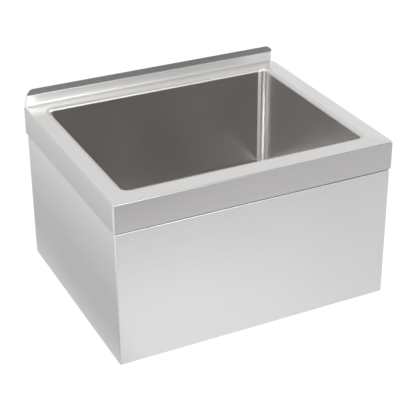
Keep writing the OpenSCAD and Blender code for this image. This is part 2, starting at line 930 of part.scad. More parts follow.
// The levelling screw with its round foot and turning hexagon
module foot_screw(sx, sy) {
    pad_top = foot_pad_height - socket_z;
    color(STEEL_SHADE) foot_corner(sx, sy) translate([foot_x, foot_front_y, socket_z]) {
        cylinder(r = foot_ball_r, h = pad_top - foot_collar - foot_play);
        cylinder(r = foot_screw_r, h = pad_top + foot_screw_length);
        translate([0, 0, pad_top + foot_play])
            cylinder(d = foot_hex, h = foot_hex_height, $fn = 6);
    }
}

module foot_screw_front_left() { foot_screw(-1, -1); }
module foot_screw_front_right() { foot_screw(1, -1); }
module foot_screw_rear_left() { foot_screw(-1, 1); }
module foot_screw_rear_right() { foot_screw(1, 1); }

// ---------- waste ----------

// A ring about the drain's axis, from z upwards
module drain_ring(z, outer, inner, height) {
    translate([0, bowl_y, z])
        difference() {
            cylinder(r = outer, h = height);
            translate([0, 0, -over])
                cylinder(r = inner, h = height + 2 * over);
        }
}

module waste_body() {
    h = waste_top - cup_floor_z;
    color(STEEL) translate([0, bowl_y, cup_floor_z])
        rotate_extrude()
            polygon([
                [waste_bore_r, -waste_tail], [waste_tail_r, -waste_tail], [waste_tail_r, 0],
                [waste_cup_r, 0], [waste_cup_r, waste_cup_depth], [waste_flange_r, waste_cup_depth],
                [waste_flange_r, h - waste_flange / 2], [waste_flange_r - waste_flange, h],
                [cup_in_r + waste_mouth, h], [cup_in_r, h - waste_mouth], [cup_in_r, waste_wall],
                [waste_bore_r, waste_wall]
            ]);
}

module flange_seal() {
    inset = 2;
    color(RUBBER) drain_ring(flange_seal_z, waste_flange_r - inset, waste_hole_r, seal_thick);
}

module under_seal() {
    color(RUBBER) drain_ring(under_seal_z, back_nut_r, waste_hole_r, seal_thick);
}

module friction_washer() {
    color([0.85, 0.83, 0.76]) drain_ring(ring_z, back_nut_r, waste_hole_r, friction_ring);
}

module back_nut() {
    color([0.2, 0.2, 0.21]) translate([0, bowl_y, back_nut_z])
        difference() {
            union() {
                cylinder(r = back_nut_r - lug_rise, h = back_nut_height);
                translate([0, 0, back_nut_height - back_nut_flange])
                    cylinder(r = back_nut_r, h = back_nut_flange);
                for (k = [0:back_nut_lugs - 1])
                    rotate(k * 360 / back_nut_lugs)
                        translate([back_nut_r - 2 * lug_rise, -lug_width / 2, 0])
                            cube([2 * lug_rise - tiny, lug_width, back_nut_height]);
            }
            translate([0, 0, -over])
                cylinder(r = waste_cup_r + nut_clearance, h = back_nut_height + 2 * over);
        }
}

// Rings of drain holes about the basket's axis: radius and count of each ring
module basket_holes() {
    rings = [[9, 8], [15, 14], [21, 20]];
    for (ring = rings, k = [0:ring[1] - 1])
        rotate(k * 360 / ring[1])
            translate([ring[0], 0, -over])
                cylinder(r = strainer_hole_r, h = basket_sheet + 2 * over, $fn = 16);
}

module strainer_basket() {
    side_r = basket_r - basket_rim_lap;
    color(STEEL) translate([0, bowl_y, basket_z])
        difference() {
            union() {
                cylinder(r = side_r, h = basket_height);
                translate([0, 0, basket_height - basket_rim])
                    cylinder(r = basket_r, h = basket_rim);
            }
            translate([0, 0, basket_sheet])
                cylinder(r = side_r - basket_sheet, h = basket_height);
            basket_holes();
            translate([0, 0, -over])
                cylinder(r = post_r, h = basket_sheet + 2 * over);
        }
}

module basket_stopper() {
    color(RUBBER) drain_ring(stopper_z, stopper_r, post_r, stopper_thick);
}

module basket_knob() {
    edge = 1;
    collar_z = stopper_thick + basket_sheet;
    top = stopper_thick + knob_rise;
    color(STEEL) translate([0, bowl_y, stopper_z])
        rotate_extrude()
            polygon([
                [0, 0], [post_r, 0], [post_r, collar_z], [post_r + post_collar, collar_z],
                [post_r + post_collar, collar_z + post_collar], [post_r, collar_z + post_collar],
                [post_r, top - knob_height], [knob_r, top - knob_height / 2], [knob_r, top - edge],
                [knob_r - edge, top], [0, top]
            ]);
}

// ---------- earth tag ----------

// The earth screw's axis, running towards -Y from the plane y
module tag_axis(y) {
    translate([tag_x, y, under_deck - rear_rail_height - tag_drop / 2])
        rotate([90, 0, 0])
            children();
}

module earth_tag() {
    play = 0.3;
    color(STEEL_SHADE) difference() {
        translate([tag_x - tag_width / 2, rail_rear_y, under_deck - rear_rail_height - tag_drop])
            cube([tag_width, case_sheet, tag_drop + tag_lap]);
        tag_axis(deck_end_y + over)
            cylinder(r = tag_screw_r + play, h = case_sheet + 2 * over);
    }
}

module earth_screw() {
    color([0.75, 0.62, 0.32]) {
        tag_axis(deck_end_y + tag_head)
            cylinder(r = tag_hex_r, h = tag_head, $fn = 6);
        tag_axis(deck_end_y + over)
            cylinder(r = tag_screw_r, h = tag_shank + over);
    }
}

module earth_nut() {
    color([0.75, 0.62, 0.32]) difference() {
        tag_axis(rail_rear_y)
            cylinder(r = tag_hex_r, h = tag_nut, $fn = 6);
        tag_axis(rail_rear_y + over)
            cylinder(r = tag_screw_r + nut_clearance, h = tag_nut + 2 * over);
    }
}

rim_front();
rim_left();
rim_right();
rim_rear_upstand();
bowl();
sound_deadening_pad();
side_panel_left();
side_panel_right();
front_upper_rail();
front_lower_rail();
rear_upper_rail();
rear_lower_rail();
rail_rivets();
front_panel();
panel_studs();
catch_grommets();
foot_bracket_front_left();
foot_bracket_front_right();
foot_bracket_rear_left();
foot_bracket_rear_right();
weld_nuts();
lock_nuts();
foot_pad_front_left();
foot_pad_front_right();
foot_pad_rear_left();
foot_pad_rear_right();
foot_screw_front_left();
foot_screw_front_right();
foot_screw_rear_left();
foot_screw_rear_right();
waste_body();
flange_seal();
under_seal();
friction_washer();
back_nut();
strainer_basket();
basket_stopper();
basket_knob();
earth_tag();
earth_screw();
earth_nut();
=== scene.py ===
"""Mop service sink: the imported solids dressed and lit, with formed sheet-metal pieces over them."""
import json
import logging
import math
from collections.abc import Callable, Iterator
from contextlib import contextmanager
from dataclasses import dataclass, field, replace
from enum import Enum, IntEnum

import bmesh
import bpy
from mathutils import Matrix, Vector

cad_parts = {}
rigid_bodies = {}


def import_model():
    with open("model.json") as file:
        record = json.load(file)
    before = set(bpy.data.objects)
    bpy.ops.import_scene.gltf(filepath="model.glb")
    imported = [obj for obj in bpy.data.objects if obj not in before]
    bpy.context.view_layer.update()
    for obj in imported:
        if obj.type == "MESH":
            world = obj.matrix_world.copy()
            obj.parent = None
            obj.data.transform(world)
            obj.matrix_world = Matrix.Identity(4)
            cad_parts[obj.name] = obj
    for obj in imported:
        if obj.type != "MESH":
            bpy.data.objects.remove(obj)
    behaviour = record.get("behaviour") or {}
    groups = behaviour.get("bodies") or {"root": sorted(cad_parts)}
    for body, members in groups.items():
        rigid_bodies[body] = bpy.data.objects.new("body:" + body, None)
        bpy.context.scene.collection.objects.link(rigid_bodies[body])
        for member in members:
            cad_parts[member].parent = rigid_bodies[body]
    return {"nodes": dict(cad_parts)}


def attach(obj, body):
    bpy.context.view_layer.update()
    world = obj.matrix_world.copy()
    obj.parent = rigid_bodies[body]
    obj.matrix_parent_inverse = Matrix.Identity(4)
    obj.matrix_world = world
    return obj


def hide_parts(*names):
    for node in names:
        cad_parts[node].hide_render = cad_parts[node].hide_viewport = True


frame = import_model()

LOG = logging.getLogger("mop_sink")
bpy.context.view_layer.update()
CLOSE = 1e-5  # metres within which two places count as one
SLACK = 0.0005  # metres by which a bend's facets may miss its round
LONG = 0.005  # metres above which an edge is more than the width of a fold
FACING = 0.5  # the least part of a normal that points the way its face looks
FLAT = 0.9999  # the least part of a normal that points up on a level face
SMOOTH_ANGLE = math.radians(38.0)  # bends below it are shaded smoothly
BROKEN_ANGLE = math.radians(50.0)  # cut edges above it are broken
Point = tuple[float, float, float]
Span = tuple[float, float]
Test = Callable[..., bool]
Piece = bpy.types.Object
Socket = bpy.types.NodeSocket
Material = bpy.types.Material


class Pick(Enum):
    """What an edit selects."""

    VERTEX = "VERT"
    EDGE = "EDGE"
    FACE = "FACE"


class Grain(Enum):
    """Which way the polishing lines run on a sheet."""

    ALONG_X = (1.0, 0.0, 0.0)
    ALONG_Y = (0.0, 1.0, 0.0)
    LEVEL = (0.0, 0.0, 0.0)


class BowlSlot(IntEnum):
    """The material slots of the bowl."""

    # The wall and floor slots hold painted shade, the side and bend slots painted light, and the two
    # corner slots painted highlights.
    WALL = 0
    FLOOR = 1
    BEND = 2
    SIDE = 3
    WELD = 4
    WELD_EDGE = 5


# ---- modelling by operators


def near(one: float, other: float) -> bool:
    """Says whether two measures are the same, but for rounding."""
    return abs(one - other) < CLOSE


def upright(one: Vector, other: Vector) -> bool:
    """Says whether an edge, given by its ends, stands on end."""
    return abs(one.z - other.z) > LONG


def depth_inside(past_x: float, past_y: float, corner: float) -> float:
    """Returns how deep in a rounded outline a point lies that is past the arc's middle."""
    past = math.hypot(past_x, past_y) if min(past_x, past_y) > 0 else max(past_x, past_y)
    return corner - past


def deselect_everything() -> None:
    for item in bpy.context.view_layer.objects:
        item.select_set(False)


def focus(piece: Piece) -> None:
    """Makes one object the only selected and active one.

    Args:
        piece: The object to work on.
    """
    deselect_everything()
    piece.select_set(True)
    bpy.context.view_layer.objects.active = piece


def select_where(piece: Piece, pick: Pick, test: Test) -> None:
    """Selects, in edit mode, the elements that pass a test.

    Args:
        piece: The object in edit mode.
        pick: The kind of element to go through.
        test: Takes a vertex's place, an edge's two ends, or a face's middle and its normal.
    """
    mesh = bmesh.from_edit_mesh(piece.data)
    items, facts = {
        Pick.VERTEX: (mesh.verts, lambda item: (item.co,)),
        Pick.EDGE: (mesh.edges, lambda item: (item.verts[0].co, item.verts[1].co)),
        Pick.FACE: (mesh.faces, lambda item: (item.calc_center_median(), item.normal))}[pick]
    for item in items:
        item.select_set(test(*facts(item)))
    mesh.select_flush_mode()
    bmesh.update_edit_mesh(piece.data)


@contextmanager
def editing(piece: Piece, pick: Pick = Pick.FACE, test: Test | None = None) -> Iterator[None]:
    """Opens edit mode on one object and closes it again.

    Args:
        piece: The object to edit.
        pick: The kind of element that selections name.
        test: Says what is selected, as select_where takes it. Without it, everything is.

    Yields:
        Nothing, while the object is in edit mode.
    """
    focus(piece)
    bpy.ops.object.mode_set(mode="EDIT")
    bpy.ops.mesh.select_mode(type=pick.value)
    bpy.ops.mesh.select_all(action="DESELECT" if test else "SELECT")
    if test:
        select_where(piece, pick, test)
    yield
    bpy.ops.object.mode_set(mode="OBJECT")


def settle(piece: Piece, name: str) -> Piece:
    """Names an object and moves its place, turn and size into its mesh.

    Args:
        piece: The object.
        name: Its new name.

    Returns:
        The same object.
    """
    focus(piece)
    bpy.ops.object.transform_apply(location=True, rotation=True, scale=True)
    piece.name = piece.data.name = name
    return piece


def add_box(name: str, low: Point, high: Point) -> Piece:
    """Adds a box between two corners, with its place in its mesh.

    Args:
        name: The object's name.
        low: The lowest corner, in metres.
        high: The highest corner, in metres.

    Returns:
        The new object.
    """
    deselect_everything()
    bpy.ops.mesh.primitive_cube_add(size=1.0, location=(Vector(low) + Vector(high)) / 2)
    box = bpy.context.active_object
    box.scale = Vector(high) - Vector(low)
    return settle(box, name)


def duplicate(piece: Piece, name: str) -> Piece:
    """Copies an object with a mesh of its own.

    Args:
        piece: The object to copy.
        name: The copy's name.

    Returns:
        The copy.
    """
    focus(piece)
    bpy.ops.object.duplicate()
    copy = bpy.context.active_object
    copy.name = copy.data.name = name
    return copy


def bevel(width: float, segments: int) -> None:
    """Rounds the selected edges with a bevel of some width, in metres."""
    bpy.ops.mesh.bevel(offset_type="OFFSET", offset=width, segments=segments, profile=0.5,
                       affect="EDGES", clamp_overlap=False)


def extrude_edges(move: Point) -> None:
    """Extrudes the selected edges and moves what is new, in metres."""
    bpy.ops.mesh.extrude_edges_move(TRANSFORM_OT_translate={"value": move})


def extrude_faces(move: Point) -> None:
    """Extrudes the selected faces and moves what is new, in metres."""
    bpy.ops.mesh.extrude_region_move(TRANSFORM_OT_translate={"value": move})


def resize(factors: Point, about: Point) -> None:
    """Scales the selection about a point."""
    bpy.ops.transform.resize(value=factors, center_override=about)


def apply_modifier(piece: Piece, kind: str, **settings: object) -> None:
    """Adds a modifier with some settings and applies it at once.

    Args:
        piece: The object.
        kind: Blender's name of the modifier.
        settings: The modifier's properties.
    """
    focus(piece)
    modifier = piece.modifiers.new(kind.lower(), kind)
    for key, value in settings.items():
        setattr(modifier, key, value)
    bpy.ops.object.modifier_apply(modifier=modifier.name)


def thicken(piece: Piece, sheet: float) -> None:
    """Gives a surface the thickness of its sheet, in metres, and keeps it outermost."""
    apply_modifier(piece, "SOLIDIFY", thickness=sheet, offset=-1.0, use_even_offset=True,
                   use_quality_normals=True)


def subtract(piece: Piece, cutter: Piece) -> None:
    """Cuts one object out of another and deletes the cutter."""
    apply_modifier(piece, "BOOLEAN", operation="DIFFERENCE", solver="EXACT", object=cutter)
    bpy.data.objects.remove(cutter)


def cut_away(piece: Piece, on: Point, towards: Point) -> None:
    """Cuts a closed mesh at a point, closes the cut and drops the side that lies towards."""
    with editing(piece):
        bpy.ops.mesh.bisect(plane_co=on, plane_no=towards, use_fill=True, clear_outer=True)


def round_off(piece: Piece, middle: Vector, radius: float, first: Vector, last: Vector,
              steps: int) -> None:
    """Rounds a convex edge with planes that touch a cylinder.

    Args:
        piece: The convex object.
        middle: A point on the cylinder's axis.
        radius: The cylinder's radius, in metres.
        first: The outward normal on one side of the edge.
        last: The outward normal on its other side.
        steps: How many equal turns lie between the two.
    """
    turn = first.angle(last)
    for step in range(1, steps):
        share = step / steps
        towards = (first * math.sin((1.0 - share) * turn) +
                   last * math.sin(share * turn)).normalized()
        cut_away(piece, tuple(middle + radius * towards), tuple(towards))


def finish_edges(piece: Piece, width: float = 0.0) -> None:
    """Breaks the sharp cut edges of a sheet and shades its bends smoothly.

    Args:
        piece: The object.
        width: The width of the broken edges, in metres, or 0 for none.
    """
    if width > 0:
        apply_modifier(piece, "BEVEL", width=width, segments=2, limit_method="ANGLE",
                       angle_limit=BROKEN_ANGLE, harden_normals=False, use_clamp_overlap=True)
    focus(piece)
    bpy.ops.object.shade_smooth_by_angle(angle=SMOOTH_ANGLE)
    apply_modifier(piece, "WEIGHTED_NORMAL", keep_sharp=True, weight=50)


# ---- finishes


class NodeSheet:
    """An emptied node tree and the few ways in which nodes are added to it."""

    def __init__(self, tree: bpy.types.NodeTree) -> None:
        """Empties the tree and keeps it."""
        self.tree = tree
        self.tree.nodes.clear()

    def add(self, kind: str, **settings: object) -> bpy.types.Node:
        """Adds a node.

        Args:
            kind: Blender's name of the node type.
            settings: Properties to set on it.

        Returns:
            The new node.
        """
        node = self.tree.nodes.new(kind)
        for key, value in settings.items():
            setattr(node, key, value)
        return node

    def feed(self, source: Socket | float | Point, target: Socket) -> None:
        """Links an output to an input, or sets the input to a constant.

        Args:
            source: The output or the constant.
            target: The input.
        """
        if isinstance(source, (int, float, tuple)):
            target.default_value = source
        else:
            self.tree.links.new(source, target)

    def run(self, kind: str, output: str | int, sources: dict[str | int, object],
            **settings: object) -> Socket:
        """Adds a node, feeds its inputs and returns one of its outputs.

        Args:
            kind: Blender's name of the node type.
            output: The output's name or number.
            sources: An output or a constant for each input, by name or number.
            settings: Properties to set on the node.

        Returns:
            The output.
        """
        node = self.add(kind, **settings)
        for key, source in sources.items():
            self.feed(source, node.inputs[key])
        return node.outputs[output]

    def combine(self, operation: str, left: Socket, right: Socket | float) -> Socket:
        """Combines a value with another value or a number by one of Blender's operations."""
        return self.run("ShaderNodeMath", 0, {0: left, 1: right}, operation=operation)

    def weigh(self, left: Socket, left_share: float, right: Socket, right_share: float) -> Socket:
        """Adds a share of one value to a share of another."""
        return self.combine("ADD", self.combine("MULTIPLY", left, left_share),
                            self.combine("MULTIPLY", right, right_share))

    def blend_range(self, value: Socket, span: Span, results: Span) -> Socket:
        """Maps a value smoothly from one span to another.

        Args:
            value: The value.
            span: Where it starts and ends.
            results: What it becomes there.

        Returns:
            The mapped value's socket.
        """
        return self.run("ShaderNodeMapRange", "Result", {
            "Value": value, "From Min": span[0], "From Max": span[1], "To Min": results[0],
            "To Max": results[1]}, interpolation_type="SMOOTHSTEP")

    def cross(self, left: Socket | Point, right: Socket | Point) -> Socket:
        """Returns the cross product of two directions, each a socket or a constant."""
        return self.run("ShaderNodeVectorMath", 0, {0: left, 1: right},
                        operation="CROSS_PRODUCT")

    def choose(self, share: Socket, low: Socket | float, high: Socket | float) -> Socket:
        """Mixes two values, of which a share of 0 gives the first and 1 the second."""
        return self.run("ShaderNodeMix", 0, {0: share, 2: low, 3: high}, data_type="FLOAT")


class NodeBoard(NodeSheet):
    """The nodes of one procedural material, with its shader and output."""

    def __init__(self, name: str) -> None:
        """Starts a material that holds a Principled shader and an output.

        Args:
            name: The material's name.
        """
        self.material = bpy.data.materials.new(name)
        self.material.use_nodes = True
        super().__init__(self.material.node_tree)
        self.shader = self.add("ShaderNodeBsdfPrincipled")
        self.output = self.add("ShaderNodeOutputMaterial")
        self.feed(self.shader.outputs["BSDF"], self.output.inputs["Surface"])

    def place(self) -> Socket:
        """Returns the surface point in object coordinates."""
        return self.add("ShaderNodeTexCoord").outputs["Object"]

    def noise(self, scale: Point, detail: float, roughness: float = 0.55) -> Socket:
        """Adds a noise pattern.

        Args:
            scale: The cells per metre along X, Y and Z.
            detail: The finer layers in it.
            roughness: Each finer layer's share.

        Returns:
            The pattern's socket, from 0 to 1.
        """
        place = self.run("ShaderNodeMapping", 0, {"Vector": self.place(), "Scale": scale})
        return self.run("ShaderNodeTexNoise", "Fac", {
            "Vector": place, "Scale": 1.0, "Detail": detail, "Roughness": roughness})

    def vary_tone(self, value: Socket, span: Span, tone: Point, swing: float) -> None:
        """Colours the shader from a little darker to a little lighter than a tone.

        Args:
            value: Chooses the shade.
            span: The values for the darkest and the lightest shade.
            tone: The middle tone.
            swing: The shades' share below and above it.
        """
        dark, light = ((*(channel * factor for channel in tone), 1.0)
                       for factor in (1.0 - swing, 1.0 + swing))
        share = self.blend_range(value, span, (0.0, 1.0))
        colour = self.run("ShaderNodeMix", 2, {0: share, 6: dark, 7: light}, data_type="RGBA")
        self.feed(colour, self.shader.inputs["Base Color"])

    def vary_roughness(self, value: Socket, roughness: float, swing: float) -> None:
        """Varies the shader's roughness by an amount below and above its mean."""
        self.feed(self.blend_range(value, (0.3, 0.7), (roughness - swing, roughness + swing)),
                  self.shader.inputs["Roughness"])

    def bump(self, height: Socket, distance: float) -> None:
        """Presses a pattern into the shading, with the height of 1 in it in metres."""
        normal = self.run("ShaderNodeBump", 0, {"Distance": distance, "Height": height})
        self.feed(normal, self.shader.inputs["Normal"])


@dataclass(frozen=True)
class BrushedSteel:
    """Stainless sheet polished in one direction.

    Attributes:
        name: The material's name.
        tone: The metal's reflectance.
        roughness: The mean roughness.
        spread: How far the highlights are drawn out across the lines, from 0 to 1.
        streak: How strongly the lines vary the tone.
        mottle: How strongly broad clouds vary the tone.
        play: How far the lines vary the roughness.
        relief: Height of the lines, in metres.
        along: How often a line varies along itself, per metre.
        across: How many lines lie side by side, per metre.
        broad: The broader lines' frequency, as a share of the fine lines'.
        cloud: The clouds' frequency, per metre.
    """

    name: str
    tone: Point = (0.795, 0.787, 0.779)
    roughness: float = 0.33
    spread: float = 0.50
    streak: float = 0.010
    mottle: float = 0.006
    play: float = 0.02
    relief: float = 0.000002
    along: float = 9.0
    across: float = 900.0
    broad: float = 0.14
    cloud: float = 5.0

    def make(self, grain: Grain) -> Material:
        """Builds the material for one direction of polish.

        Args:
            grain: The direction of the lines.

        Returns:
            The material.
        """
        board = NodeBoard(f"{self.name}_{grain.name.lower()}")
        stretch = {Grain.ALONG_X: (self.along, self.across, self.across),
                   Grain.ALONG_Y: (self.across, self.along, self.across),
                   Grain.LEVEL: (self.along, self.along, self.across)}[grain]
        fine = board.noise(stretch, detail=4.0, roughness=0.65)
        broad = board.noise(tuple(axis * self.broad for axis in stretch), detail=2.0)
        cloud = board.noise((self.cloud, self.cloud, self.cloud), detail=1.5)
        lines = board.weigh(fine, 0.6, broad, 0.4)
        swing = self.streak + self.mottle
        tone = board.weigh(lines, self.streak / swing, cloud, self.mottle / swing)
        board.vary_tone(tone, (0.32, 0.68), self.tone, swing)
        board.vary_roughness(lines, self.roughness, self.play)
        board.shader.inputs["Metallic"].default_value = 1.0
        board.shader.inputs["Anisotropic"].default_value = self.spread
        self._turn_highlights(board, grain)
        board.bump(fine, self.relief)
        return board.material

    def _turn_highlights(self, board: NodeBoard, grain: Grain) -> None:
        """Lays the shader's tangent across the polishing lines.

        Args:
            board: The material's nodes.
            grain: The direction of the lines.
        """
        normal = board.add("ShaderNodeNewGeometry").outputs["Normal"]
        lines: Socket | Point = grain.value
        if grain is Grain.LEVEL:
            lines = board.cross((0.0, 0.0, 1.0), normal)
        tangent = board.run("ShaderNodeVectorMath", 0, {0: board.cross(normal, lines)},
                            operation="NORMALIZE")
        board.feed(tangent, board.shader.inputs["Tangent"])


@dataclass(frozen=True)
class PlainFinish:
    """A metal, rubber, plastic or fibre without a polishing direction.

    Attributes:
        name: The material's name.
        tone: The metal's reflectance or the base colour.
        roughness: The mean roughness.
        metal: Whether it is a metal.
        swing: How strongly the colour varies.
        play: How far the roughness varies.
        skin: The grain's frequency, its layers and its height in metres.
        cloud: The clouds' frequency and layers.
        share: The grain's share in what varies the colour and the roughness.
    """

    name: str
    tone: Point
    roughness: float
    metal: float
    swing: float
    play: float
    skin: Point
    cloud: Span
    share: Span

    def make(self) -> Material:
        """Builds the material.

        Returns:
            The material.
        """
        board = NodeBoard(self.name)
        cells, layers, height = self.skin
        skin = board.noise((cells, cells, cells), detail=layers)
        cells, layers = self.cloud
        cloud = board.noise((cells, cells, cells), detail=layers)
        shade, sheen = (board.weigh(skin, share, cloud, 1.0 - share) for share in self.share)
        board.vary_tone(shade, (0.3, 0.7), self.tone, self.swing)
        board.vary_roughness(sheen, self.roughness, self.play)
        board.shader.inputs["Metallic"].default_value = self.metal
        board.bump(skin, height)
        return board.material


RIM = BrushedSteel("rim_steel")
# Painted light: the right deck strip gets a lighter tone than the left and front strips of the same
# sheet.
RIM_RIGHT_LIT = BrushedSteel("rim_right_lit_steel", (0.85, 0.842, 0.836))
# Painted light: the rear strip, cove and upstand face get a lighter tone than the front and left
# strips of the same steel.
UPSTAND_LIT = BrushedSteel("upstand_lit_steel", (0.87, 0.86, 0.848), 0.42, spread=0.80)
# Painted shade: the skirts and the folds above them get a darker tone than the deck of the same
# sheet.
SKIRT_SHADED = BrushedSteel("skirt_shaded_steel", (0.655, 0.644, 0.638))
# Painted shade: the upstand's lip gets a darker tone than its face, which is the same sheet.
LIP_SHADED = BrushedSteel("lip_shaded_steel", (0.66, 0.652, 0.645), 0.30, spread=0.2, streak=0.006, play=0.01)
# Painted light: the bowl's top bend gets a lighter tone than the bowl walls below it.
BEND = BrushedSteel("lit_bend_steel", (0.72, 0.713, 0.706), 0.42, spread=0.0, streak=0.006)
# Painted shade: the bowl's front and rear walls and its floor get a far darker tone than the deck
# steel, darkening the recess.
BOWL_SHADED = BrushedSteel("bowl_shaded_steel", (0.488, 0.474, 0.462), 0.30, spread=0.4, streak=0.004,
                    mottle=0.012, play=0.01)
# Painted light: the bowl's side walls get a far lighter tone than its front and rear walls.
BOWL_SIDE_LIT = replace(BOWL_SHADED, name="bowl_side_lit_steel", tone=(0.95, 0.938, 0.926))
# Painted highlights: pale bands laid on the two right corner bends of the bowl, picked by their
# normals.
WELD = BrushedSteel("ground_weld", (0.94, 0.945, 0.95), 0.29, spread=0.0, streak=0.0,
                    mottle=0.002, play=0.0)
WELD_EDGE = BrushedSteel("weld_edge", (0.95, 0.945, 0.94), 0.70, spread=0.0, streak=0.006,
                         play=0.01)
CASING = BrushedSteel("casing_steel", (0.784, 0.777, 0.775), 0.38)
# Painted highlight: a pale finish on the front panel's top bend, standing in for a bright line under
# the skirt.
PANEL_EDGE_GLINT = replace(WELD_EDGE, name="panel_edge_glint_steel", tone=(0.93, 0.925, 0.92),
                     roughness=0.31)
POLISHED = PlainFinish("polished_steel", (0.74, 0.73, 0.72), 0.14, metal=1.0, swing=0.04,
                       play=0.02, skin=(650.0, 3.0, 0.00004), cloud=(60.0, 2.0),
                       share=(0.4, 0.4))
PLATED = replace(POLISHED, name="plated_steel", tone=(0.55, 0.56, 0.57), roughness=0.34,
                 swing=0.08, play=0.04)
BRASS = replace(PLATED, name="brass", tone=(0.72, 0.54, 0.26))
RUBBER = PlainFinish("black_rubber", (0.018, 0.018, 0.019), 0.72, metal=0.0, swing=0.12,
                     play=0.06, skin=(1.0 / 0.0011, 2.0, 0.00009), cloud=(25.0, 3.0),
                     share=(0.0, 1.0))
PLASTIC = replace(RUBBER, name="black_plastic", tone=(0.022, 0.023, 0.025), roughness=0.42,
                  skin=(1.0 / 0.0007, 2.0, 0.00004))
FIBRE = replace(RUBBER, name="pale_fibre", tone=(0.58, 0.52, 0.40), roughness=0.8,
                skin=(1.0 / 0.0006, 2.0, 0.00008))


@dataclass
class FinishRack:
    """The materials of the sink's finishes, each made once."""

    made: dict[tuple, Material] = field(default_factory=dict)

    def sheet(self, finish: BrushedSteel | PlainFinish, *grain: Grain) -> Material:
        """Returns a finish's material.

        Args:
            finish: The finish.
            grain: The direction of the lines, for a brushed one.

        Returns:
            The material, made at the first call.
        """
        key = (finish.name, *grain)
        if key not in self.made:
            self.made[key] = finish.make(*grain)
        return self.made[key]


def dress(piece: Piece, *materials: Material) -> None:
    """Puts materials in an object's slots.

    Args:
        piece: The object.
        materials: One material for each slot.
    """
    piece.data.materials.clear()
    for material in materials:
        piece.data.materials.append(material)


def assign_faces(piece: Piece, slot: int, test: Test) -> None:
    """Puts the faces that pass a test in one of the object's material slots.

    Args:
        piece: The dressed object.
        slot: The material slot's number.
        test: Takes a face's middle and its normal.
    """
    with editing(piece, Pick.FACE, test):
        piece.active_material_index = slot
        bpy.ops.object.material_slot_assign()


def hand_over(piece: Piece, body: str, node: str) -> None:
    """Gives a finished piece its body and the node that it stands for.

    Args:
        piece: The finished piece.
        body: The body that it rides on.
        node: The CAD node that it replaces.
    """
    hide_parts(node)
    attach(piece, body)
    LOG.info("%s: %d faces on %s for %s", piece.name, len(piece.data.polygons), body, node)


# ---- rim and upstand


